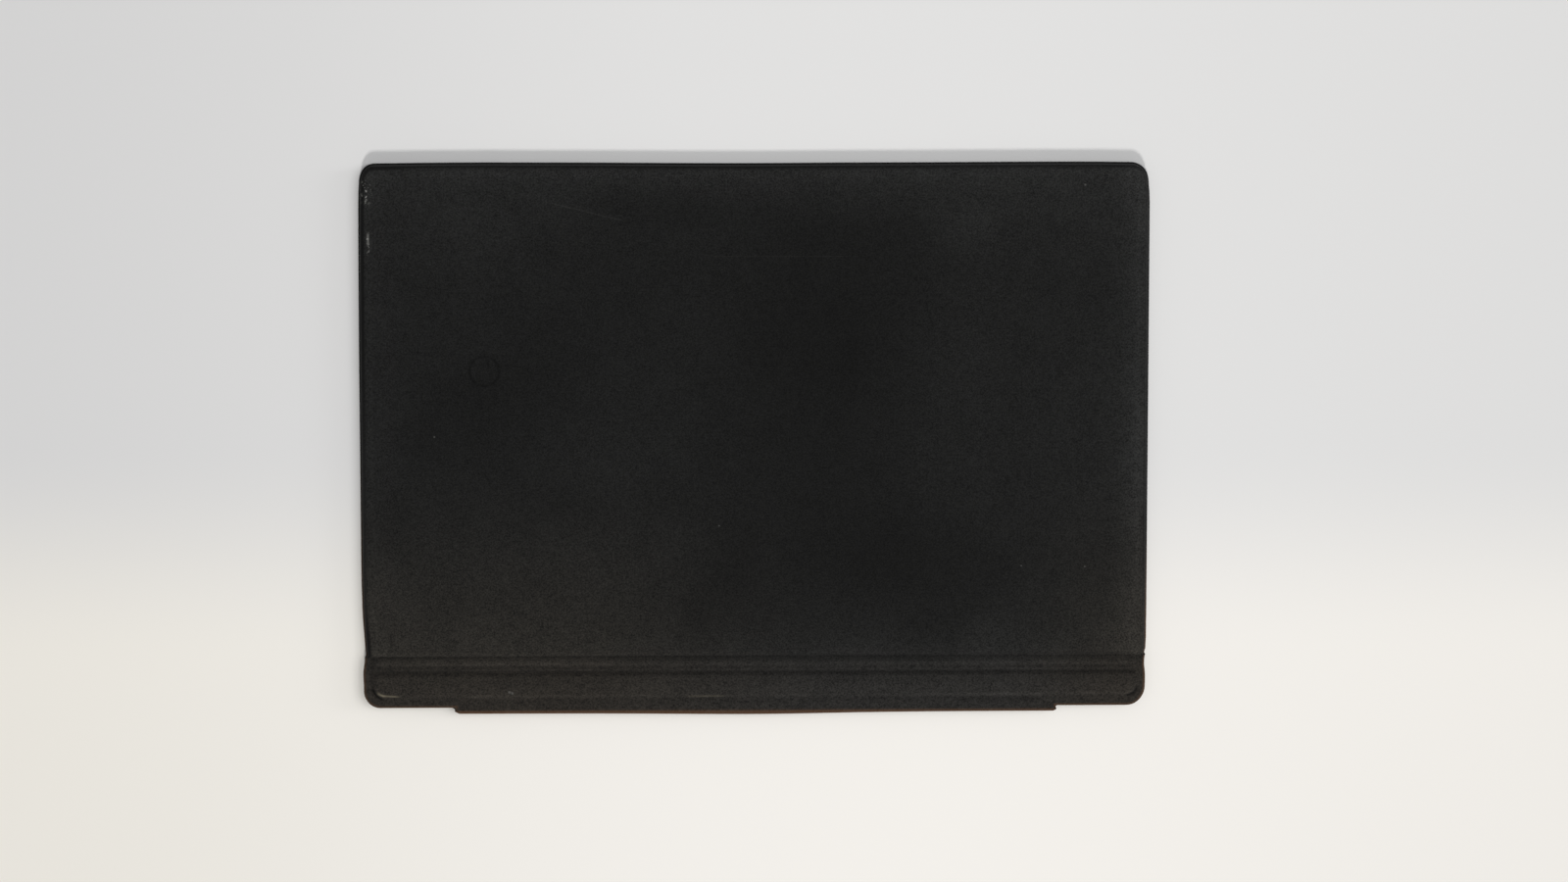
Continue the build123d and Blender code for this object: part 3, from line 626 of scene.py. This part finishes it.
# ---------------------------------------------------------------- flap
# The two sheets run on past the second crease and close over a stiff bar with magnets. They are bonded
# round its edge, and the outer sheet goes on as a tongue to the spine.
flap_loop = [(-half_width, flap_y, flap_radii[0]), (tongue_low, flap_y, 1.6), (tongue_low, -130, 0),
             (tongue_high, -130, 0), (tongue_high, flap_y, 0.6), (half_width, flap_y, flap_radii[1]),
             (half_width, -40, 0), (-half_width, -40, 0)]
turn_start_y = -101.9
bar_end_cuts = [144.2, 143.8, 143.4, 143.0, 142.5, 142.0, 141.5, 141.0, 140.4, 139.8, 139.0]
for side, cloth, slot, node in ((back_height, back_cloth, "back_microfibre", "flap_back_skin"),
                                (front_height, palm_cloth, "palm_rest_microfibre", "flap_front_skin")):
    sheet = flat_region(flap_loop)
    add_rings(sheet, [place for place, _ in band_drop[1:]])
    keep_between(sheet, turn_start_y, seam_y)
    cut(sheet, 0, steps(-144.5, 144.5, 3.2) + [-place for place in bar_end_cuts] + bar_end_cuts[::-1])
    cut(sheet, 1, flap_cuts)
    set_heights(sheet, side)
    thicken(sheet, cloth_thickness, upward=side is front_height)
    flap_skin = piece(sheet, node + "_cloth", cloth)
    paint_shade(flap_skin, [], back_painted_light if side is back_height else None)
    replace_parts(flap_skin, node)
    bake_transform(flap_skin)

# ---------------------------------------------------------------- fabric turn
# The flap's two cloths run on together as a tongue, round the flap's edge and down to the spine. They turn
# under at the table, so the spine lies beneath the flap.
def new_verts(extruded):
    """The points that an extrusion made."""
    return [part for part in extruded["geom"] if isinstance(part, bmesh.types.BMVert)]


def drawn_out(bm, offset):
    """A solid of a flat sheet, drawn out by an offset."""
    moved = new_verts(bmesh.ops.extrude_face_region(bm, geom=bm.faces[:]))
    bmesh.ops.translate(bm, vec=offset, verts=moved)
    return bm


# Sections of the two halves of the turn, as y and z: along the outer face and back along the inner one
turn_y, turn_radius = -102.325, 0.5
outer_y, inner_y = -102.825, -101.85
quarter = [math.radians(a) for a in range(0, 91, 15)]
roll = [(turn_y - turn_radius * math.sin(a), 3.9 + turn_radius * math.cos(a)) for a in quarter]
lower_roll = [(turn_y - turn_radius * math.cos(a), 0.5 - turn_radius * math.sin(a)) for a in quarter]
upper = [(turn_start_y, 4.4), *roll, (outer_y, 3.6), (outer_y, 3.2), (outer_y, 2.2),
         (inner_y, 2.2), (inner_y, 3.0), (inner_y, 3.3), (turn_start_y, 3.42)]
lower = [(outer_y, 2.2), (outer_y, 1.4), (outer_y, 0.9), *lower_roll, (-101.8, 0.0), (-101.275, 0.0),
         (-94.075, 0.0), (-94.075, 0.5), (-101.2, 0.5), (-101.35, 1.0), (-101.75, 1.0), (inner_y, 1.1),
         (inner_y, 1.4), (inner_y, 2.2)]
drawn_in, drawn_ends = 0.99762, ((0, 1), (112.2, 1), (113.2, 0.999))
turn_cuts = steps(-111, 112, 9) + [-112.9, -112.5, -112.0, -111.4, 112.6, 113.1, 113.5]


def turn_bow(x, y, z):
    """How far the turned cloth bulges out, most in the middle and least at its two cut ends."""
    bow = 0.28 + 0.55 * ridge(x - 2, 45) + 0.25 * (1 - ease(x, -5, 45))
    bow -= 0.8 * ease(-x, 111.2, 113.4) + 0.5 * ease(x, 112.5, 113.9)
    return bow * ease(-y, 101.85, 102.8) * ease(z, -0.1, 0.9)


for name, profile, bodies, start, end, node in (
        ("tongue_cloth", upper, ("flap", "turn_strip"), (0, -0.1019, 0.0039), (0, -0.1024, 0.0032),
         "turn_strip"),
        ("spine_cloth", lower, ("turn_strip", "spine"), (0, -0.1026, 0.0012), (0, -0.1020, 0.0005),
         "spine_cover")):
    bm = bmesh.new()
    bm.faces.new([bm.verts.new((tongue_low, y, z)) for y, z in profile])
    drawn_out(bm, (tongue_high - tongue_low, 0, 0))
    cut(bm, 0, turn_cuts)
    for vert in bm.verts:
        vert.co.y -= turn_bow(*vert.co)
        vert.co.x *= drawn_in * along(abs(vert.co.x), drawn_ends)
    turn = piece(bm, name, back_cloth, sharp=50)
    # Painted light: the turned tongue is painted a little paler, and warm on its top where it faces the
    # near lamp
    paint_shade(turn, [], lambda x, y, z: (0.1, 0.0, turn_painted_warm_light(y, z)))
    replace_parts(turn, node)
    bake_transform(turn)

# ---------------------------------------------------------------- connector spine
# Rigid rail in the fabric that clings to the tablet by its magnets. Six gold contacts stand in an
# insulating block at its middle, with a locating post on each side.
def plain(name, colour, roughness, metallic=0.0, grain=900, depth=0.1, bump=0.00002, coat=0.0):
    """A moulded, metal or coated finish with a fine grain in its colour and surface."""
    look = Finish(name, roughness, metallic)
    speckle = look.grain(grain)
    factor = look.ramp(speckle, 0.3, 0.7, 1 - depth, 1 + depth)
    look.feed(look.shader.inputs["Base Color"], look.scaled(colour[:3], factor))
    look.feed(look.shader.inputs["Roughness"],
              look.ramp(speckle, 0.3, 0.7, roughness * 0.9, min(roughness * 1.1, 1.0)))
    look.feed(look.shader.inputs["Coat Weight"], coat)
    look.bump(speckle, bump, 0.5)
    return look.material


def soften(bm, edges, width):
    bmesh.ops.bevel(bm, geom=edges, offset=width, segments=3, profile=0.5, affect="EDGES", material=-1)


def raised(bm, z_low, z_high):
    """A block of a flat sheet between two heights."""
    bmesh.ops.translate(bm, vec=(0, 0, z_low), verts=bm.verts[:])
    return drawn_out(bm, (0, 0, z_high - z_low))


def slab(box, z_low, z_high, radius=0.0, edge=0.0):
    """A block between two heights with rounded upright edges and softened rims."""
    bm = raised(flat_region(box_loop(box, radius)), z_low, z_high)
    if edge:
        soften(bm, [e for e in bm.edges if abs(e.verts[0].co.z - e.verts[1].co.z) < 1e-4], edge)
    return bm


def merged(parts):
    """Several shapes as one."""
    whole = parts[0]
    for part in parts[1:]:
        spare = bpy.data.meshes.new("spare")
        part.to_mesh(spare)
        part.free()
        whole.from_mesh(spare)
        bpy.data.meshes.remove(spare)
    return whole


def around(x, y, width, depth):
    """A box round its middle."""
    return (x - width / 2, x + width / 2, y - depth / 2, y + depth / 2)


def rod(x, y, radius, z_low, z_high):
    """An upright round post with a softened top."""
    bm = bmesh.new()
    bmesh.ops.create_cone(bm, cap_ends=True, segments=32, radius1=radius, radius2=radius,
                          depth=z_high - z_low)
    bmesh.ops.translate(bm, vec=(x, y, (z_low + z_high) / 2), verts=bm.verts[:])
    top = max(v.co.z for v in bm.verts)
    soften(bm, [e for e in bm.edges if all(v.co.z > top - 1e-4 for v in e.verts)], 0.2)
    return bm


spine_plastic = plain("spine_plastic", linear(38, 38, 39), 0.5, grain=2200)
rail_y, rail_z = (-101.25, -94.1), (0.5, 2.1)
rail = merged([slab((-112.5, -16.15, *rail_y), *rail_z, 0.9, 0.25),
               slab((16.15, 112.5, *rail_y), *rail_z, 0.9, 0.25),
               slab((-16.4, 16.4, -97.6, rail_y[1]), *rail_z, 0.0, 0.2),
               slab((-16.4, 16.4, rail_y[0], -100.25), *rail_z, 0.0, 0.2)])
rail = piece(rail, "spine_rail", spine_plastic)
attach(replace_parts(rail, "spine_housing"), "spine")
contact_y = -98.925
block = merged([slab(around(0, contact_y, 32, 2.5), 0.6, 2.9, 0.4, 0.15),
                rod(-22, contact_y, 1.0, 1.2, 2.9), rod(22, contact_y, 1.0, 1.2, 2.9)])
block = piece(block, "contact_block_moulding", spine_plastic)
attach(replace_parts(block, "contact_block"), "spine")
gold = plain("plated_contact", linear(214, 170, 96), 0.25, 1.0, grain=1800, depth=0.05, bump=0.000005)
pins = piece(merged([slab(around(x, contact_y, 1.6, 1.2), 2.0, 2.98, 0.35, 0.06)
                     for x in (-10.5, -6.3, -2.1, 2.1, 6.3, 10.5)]), "contact_pads", gold)
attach(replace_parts(pins, "contact_pins"), "spine")

# ---------------------------------------------------------------- keycaps and their legends
# Low moulded caps with dished faces, each over a scissor link and a rubber dome. The legends are generic.
# They are read from below, with the function row next to the fold.
# Each row's depth, its keys with their widths in units of the pitch, and its usual width
rows = [
    (9.8, "Esc F1 F2 F3 F4 F5 F6 F7 F8 F9 F10 F11 F12 Del", 15 / 14),
    (18.0, "` 1 2 3 4 5 6 7 8 9 0 - = Backspace:2", 1),
    (18.0, "Tab:1.5 Q W E R T Y U I O P [ ] \\:1.5", 1),
    (18.0, "Caps:1.75 A S D F G H J K L ; ' Enter:2.25", 1),
    (18.0, "Shift:2.25 Z X C V B N M , . / Shift:2.75", 1),
    (18.0, "Ctrl:1.25 Fn Home Alt:1.25 Space:5.5 Alt Menu \u2190 \u2191\u2193 \u2192", 1),
]
shifted = dict(zip("`1234567890-=[]\\;',./", "~!@#$%^&*()_+{}|:\"<>?"))
symbols = "[]\\;',./"
key_pitch, half_gap, first_key_x = 18.6, 1.3, -139.5


def key_body(row, label):
    """The CAD body that a key belongs to."""
    if label in ("Space", "Enter", "Backspace") or (len(label) == 1 and label.isalpha()):
        return "key_" + label.lower()
    if row == 0:
        return "function_row_keys"
    if row == 1:
        return "number_row_keys"
    return "symbol_keys" if label in symbols else "modifier_and_arrow_keys"


def key_spots():
    """Body, label and box of every key."""
    spots = []
    y = key_field[2] + 1.2 - half_gap
    for number, (pitch, labels, usual) in enumerate(rows):
        x = first_key_x
        for item in labels.split():
            label, _, units = item.partition(":") if len(item) > 1 else (item, "", "")
            width = key_pitch * (float(units) if units else usual)
            box = (x + half_gap, x + width - half_gap, y + half_gap, y + pitch - half_gap)
            body = key_body(number, label)
            if label == "\u2191\u2193":
                middle = (box[2] + box[3]) / 2
                spots.append((body, "\u2191", (box[0], box[1], box[2], middle - 0.6)))
                spots.append((body, "\u2193", (box[0], box[1], middle + 0.6, box[3])))
            else:
                spots.append((body, label, box))
            x += width
        y += pitch
    return spots


# How the cap's face lies in from its edge: a rounded edge and a slight dish
cap_section = ((0, 0.32), (0.12, 0.12), (0.3, 0.03), (0.6, 0.0), (0.9, 0.01), (3.0, 0.08))
cap_face, cap_skirt, cap_wall = 0.3, 1.7, 0.5


def keycap(box):
    """A cap whose face is dished a little; its skirt reaches to the membrane."""
    bm = flat_region(box_loop(box, 1.0))
    add_rings(bm, [place for place, _ in cap_section[1:-1]])
    bmesh.ops.poke(bm, faces=[max(bm.faces, key=lambda face: face.calc_area())])
    for vert in bm.verts:
        vert.co.z = cap_face + along(inside(vert.co.x, vert.co.y, box, 1.0), cap_section)
    skirt = [e for e in bm.edges if e.is_boundary]
    for vert in new_verts(bmesh.ops.extrude_edge_only(bm, edges=skirt)):
        vert.co.z = cap_skirt
    bmesh.ops.recalc_face_normals(bm, faces=bm.faces[:])
    if sum(f.normal.z * f.calc_area() for f in bm.faces) > 0:
        bmesh.ops.reverse_faces(bm, faces=bm.faces[:])
    thicken(bm, cap_wall, upward=False)
    return bm


def lettering(text, size, x, y):
    """Flat closed letters on a cap's face, facing down, with their tops towards the fold."""
    curve = bpy.data.curves.new("letters", "FONT")
    curve.body = text
    curve.size = size
    curve.align_x = "CENTER"
    curve.align_y = "CENTER"
    curve.extrude = 0.02
    curve.resolution_u = 3
    holder = bpy.data.objects.new("letters", curve)
    mesh = bpy.data.meshes.new_from_object(holder)
    bm = bmesh.new()
    bm.from_mesh(mesh)
    bmesh.ops.remove_doubles(bm, verts=bm.verts[:], dist=1e-4)
    bpy.data.objects.remove(holder)
    bpy.data.curves.remove(curve)
    bpy.data.meshes.remove(mesh)
    bmesh.ops.transform(bm, matrix=Matrix.Translation((x, y, 0.36)) @ Matrix.Rotation(math.pi, 4, "X"),
                        verts=bm.verts[:])
    return bm


def legend(label, box):
    """The legends of one key."""
    x, y = (box[0] + box[1]) / 2, (box[2] + box[3]) / 2
    if label == "Space":
        return []
    if label in shifted:
        return [lettering(shifted[label], 3.6, x, y - 3.2), lettering(label, 3.6, x, y + 3.0)]
    if len(label) == 1 and label.isalpha():
        return [lettering(label, 4.6, x, y)]
    return [lettering(label, 2.6 if len(label) > 1 else 3.4, x, y)]


def link_and_dome(box):
    """The scissor link's two crossed frames and the dome of one key, flat enough to lie in the cap."""
    x, y = (box[0] + box[1]) / 2, (box[2] + box[3]) / 2
    length = min(8.6, box[3] - box[2] - 2.2)
    frames = []
    for width, lean in ((11.0, 1), (8.6, -1)):
        if width > box[1] - box[0] - 2.2:
            width = box[1] - box[0] - 2.4
        outer, inner = around(x, y, width, length), around(x, y, width - 2, max(length - 2, 0.4))
        bm = drawn_out(flat_region(box_loop(outer, 0.3), box_loop(inner, 0.0)), (0, 0, 0.5))
        for vert in bm.verts:
            vert.co.z += 1.75 + lean * 0.75 * (vert.co.y - y) / (length / 2)
        frames.append(bm)
    base = max(min(2.8, length / 2 - 1.5), 0.5)
    dome = bmesh.new()
    bmesh.ops.create_cone(dome, cap_ends=True, segments=20, radius1=base * 0.6, radius2=base, depth=2.0)
    bmesh.ops.translate(dome, vec=(x, y, 2.05), verts=dome.verts[:])
    return frames, dome


cap_plastic = plain("keycap_plastic", linear(40, 41, 43), 0.42, grain=2600, bump=0.00001)
legend_ink = plain("legend_ink", linear(214, 216, 218), 0.6)
link_plastic = plain("link_plastic", linear(205, 205, 200), 0.5)
dome_rubber = plain("dome_rubber", linear(178, 180, 176), 0.7)
keys = {}
for body, label, box in key_spots():
    keys.setdefault(body, []).append((label, box))
for body, members in keys.items():
    caps = piece(merged([keycap(box) for _, box in members]), body + "_caps", cap_plastic)
    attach(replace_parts(caps, body), body)
    letters = [shape for label, box in members for shape in legend(label, box)]
    if letters:
        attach(piece(merged(letters), body + "_legends", legend_ink), body)
    springs = [link_and_dome(box) for _, box in members]
    links = piece(merged([bm for frames, _ in springs for bm in frames]), body + "_links", link_plastic)
    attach(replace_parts(links, "scissor_links"), "panel")
    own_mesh(links)
    domes = piece(merged([dome for _, dome in springs]), body + "_domes", dome_rubber)
    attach(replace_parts(domes, "rubber_domes"), "panel")
    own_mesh(domes)

# ---------------------------------------------------------------- clickpad
# Coated glass plate bonded to its sensor board, a little below the palm rest with an even gap round it.
# It clicks by turning a little near its edge at the keys.
coated_glass = plain("coated_glass", linear(44, 46, 48), 0.30, grain=3200, depth=0.04, bump=0.000003,
                     coat=0.15)
glass = piece(slab((-50.5, 50.5, 35.825, 92.825), 0.25, 1.05, 2.5, 0.18), "clickpad_plate", coated_glass)
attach(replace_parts(glass, "clickpad_glass"), "clickpad")

# ---------------------------------------------------------------- ribbon cable
# Flat cable from the controller board to the contacts, inside the cloth the whole way. It bends at each
# fold with the cloth round it.
film = plain("ribbon_film", linear(196, 132, 60), 0.35, depth=0.05, coat=0.2)
ribbon_parts = [
    ("ribbon_at_panel",
     [(-79.0, 1.95), (-79.4, 2.3), (-80.6, 3.6), (-81.2, 3.62), (-82.4, 3.62), (-85.0, 3.62)],
     ("panel", "fold_band"), (0, -0.0818, 0.0039), (0, -0.0830, 0.0039)),
    ("ribbon_at_flap",
     [(-85.0, 3.62), (-87.4, 3.62), (-88.0, 3.62), (-88.8, 3.62), (-92.0, 3.62), (-101.9, 3.62)],
     ("fold_band", "flap"), (0, -0.0873, 0.0039), (0, -0.0889, 0.0039)),
    ("ribbon_at_turn",
     [(-101.9, 3.62), (-102.15, 3.6), (-102.32, 3.5), (-102.34, 3.2), (-102.34, 2.2)],
     ("flap", "turn_strip"), (0, -0.1019, 0.0039), (0, -0.1024, 0.0032)),
    ("ribbon_at_spine",
     [(-102.34, 2.2), (-102.34, 1.2), (-102.32, 0.75), (-102.1, 0.55), (-101.6, 0.5), (-97.7, 0.5)],
     ("turn_strip", "spine"), (0, -0.1026, 0.0012), (0, -0.1020, 0.0005)),
]
ribbon_width, ribbon_thickness = 12, 0.12
for name, path, bodies, start, end in ribbon_parts:
    bm = bmesh.new()
    line = [bm.verts.new((-ribbon_width / 2, y, z)) for y, z in path]
    edges = [bm.edges.new(pair) for pair in zip(line, line[1:])]
    moved = new_verts(bmesh.ops.extrude_edge_only(bm, edges=edges))
    bmesh.ops.translate(bm, vec=(ribbon_width, 0, 0), verts=moved)
    bmesh.ops.solidify(bm, geom=bm.faces[:], thickness=ribbon_thickness)
    cable = piece(bm, name, film)
    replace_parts(cable, "ribbon_cable")
    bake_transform(cable)

# ---------------------------------------------------------------- layers and parts kept from the CAD
# Plate, frame, switch sheet, light guide, boards and magnets between the two skins. Only the key web and
# the rims of the openings show.
laminate = plain("stiff_laminate", linear(60, 62, 58), 0.6)
plate = piece(slab((-143.6, 144.2, -80.3, 99.6), 4.0, 4.38, 4.0), "laminate_sheet", laminate)
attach(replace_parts(plate, "back_plate"), "panel")
core = raised(flat_region(box_loop((-144.7, 145.2, -80.4, 100.2), 4.5), *openings), 0.5, 3.9)
core = piece(core, "core_moulding", plain("frame_plastic", linear(34, 34, 35), 0.6), sharp=30)
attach(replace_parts(core, "core_frame"), "panel")
inner_finishes = {
    "stiff_laminate": (laminate, ["flap_stiffener"]),
    "key_web_plastic": (plain("key_web_plastic", linear(30, 30, 31), 0.55), ["key_web"]),
    "membrane_film": (plain("membrane_film", linear(120, 150, 130), 0.3), ["switch_membrane"]),
    "steel_plate": (plain("steel_plate", linear(150, 152, 155), 0.35, 1.0),
                    ["base_plate", "clickpad_bracket"]),
    "clear_film": (plain("clear_film", linear(225, 228, 230), 0.15), ["light_guide"]),
    "circuit_board": (plain("circuit_board", linear(20, 62, 44), 0.4), ["main_board", "clickpad_board"]),
    "nickel_magnet": (plain("nickel_magnet", linear(176, 174, 168), 0.3, 1.0),
                      ["closure_magnets", "flap_magnets", "spine_magnets"]),
}
for slot, (finish, names) in inner_finishes.items():
    for name in names:
        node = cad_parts[name]
        node.data.materials.clear()
        node.data.materials.append(finish)


# ---------------------------------------------------------------- floor, light and camera
# A pale matt table, its colour painted cooler and darker at the far side, darkest at the far left, and
# warmer and brighter at the near side as painted light from the near lamp, and painted a little darker to
# the right as painted shade that evens out the panel's light.
# A lamp from the spine side, a wide soft panel at the upper right, a weak low lamp from the right and even
# light all round light the case.
def floor_finish():
    look = Finish("pale_table", roughness=0.95)
    look.feed(look.shader.inputs["Specular IOR Level"], 0.0)
    x, y = look.axes()
    far = look.blended(look.ramp(x, -0.30, 0.0), linear(212.5, 212.5, 213), linear(222, 222, 222))
    near = look.blended(look.ramp(x, -0.30, 0.0), linear(233, 230, 223), linear(239.5, 237, 232.5))
    colour = look.blended(look.ramp(y, -0.085, 0.0), near, far)
    look.feed(look.shader.inputs["Base Color"], look.scaled(colour, look.ramp(x, 0.02, 0.40, 1.0, 0.90)))
    return look.material


bm = bmesh.new()
bmesh.ops.create_grid(bm, x_segments=1, y_segments=1, size=3000)
bmesh.ops.translate(bm, vec=(0, 0, -0.02), verts=bm.verts[:])
bmesh.ops.scale(bm, vec=(MM, MM, MM), verts=bm.verts[:])
floor_mesh = bpy.data.meshes.new("table_top")
bm.to_mesh(floor_mesh)
bm.free()
floor = bpy.data.objects.new("table_top", floor_mesh)
bpy.context.scene.collection.objects.link(floor)
floor_mesh.materials.append(floor_finish())


def lamp(name, kind, power, colour, place, target, **settings):
    data = bpy.data.lights.new(name, kind)
    data.energy = power
    data.color = colour
    for key, value in settings.items():
        setattr(data, key, value)
    obj = bpy.data.objects.new(name, data)
    obj.location = place
    obj.rotation_euler = (Vector(target) - Vector(place)).to_track_quat("-Z", "Y").to_euler()
    bpy.context.scene.collection.objects.link(obj)


lamp("near_lamp", "SUN", 1.85, (1.0, 0.985, 0.96), (0.05, -1.0, 0.70), (0, 0, 0), angle=math.radians(7))
lamp("right_panel", "AREA", 26, (1.0, 1.0, 1.0), (1.5, 0.1, 2.0), (0, 0, 0), shape="RECTANGLE", size=1.6,
     size_y=1.6)
lamp("low_right_lamp", "SUN", 0.6, (1.0, 1.0, 1.0), (1.0, 0.1, 0.27), (0, 0, 0), angle=math.radians(16))
world = bpy.data.worlds.new("room")
bpy.context.scene.world = world
world.use_nodes = True
world.node_tree.nodes["Background"].inputs[0].default_value = (1, 1, 1, 1)
world.node_tree.nodes["Background"].inputs[1].default_value = 0.35

camera_data = bpy.data.cameras.new("camera")
camera_data.lens = 52.091
camera_data.sensor_width = 36
camera = bpy.data.objects.new("camera", camera_data)
camera.location = (-0.00188, 0.05182, 0.850)
camera.rotation_euler = [math.radians(a) for a in (-3.567, -0.872, -0.094)]
bpy.context.scene.collection.objects.link(camera)
bpy.context.scene.camera = camera
bpy.context.scene.view_settings.view_transform = "Standard"
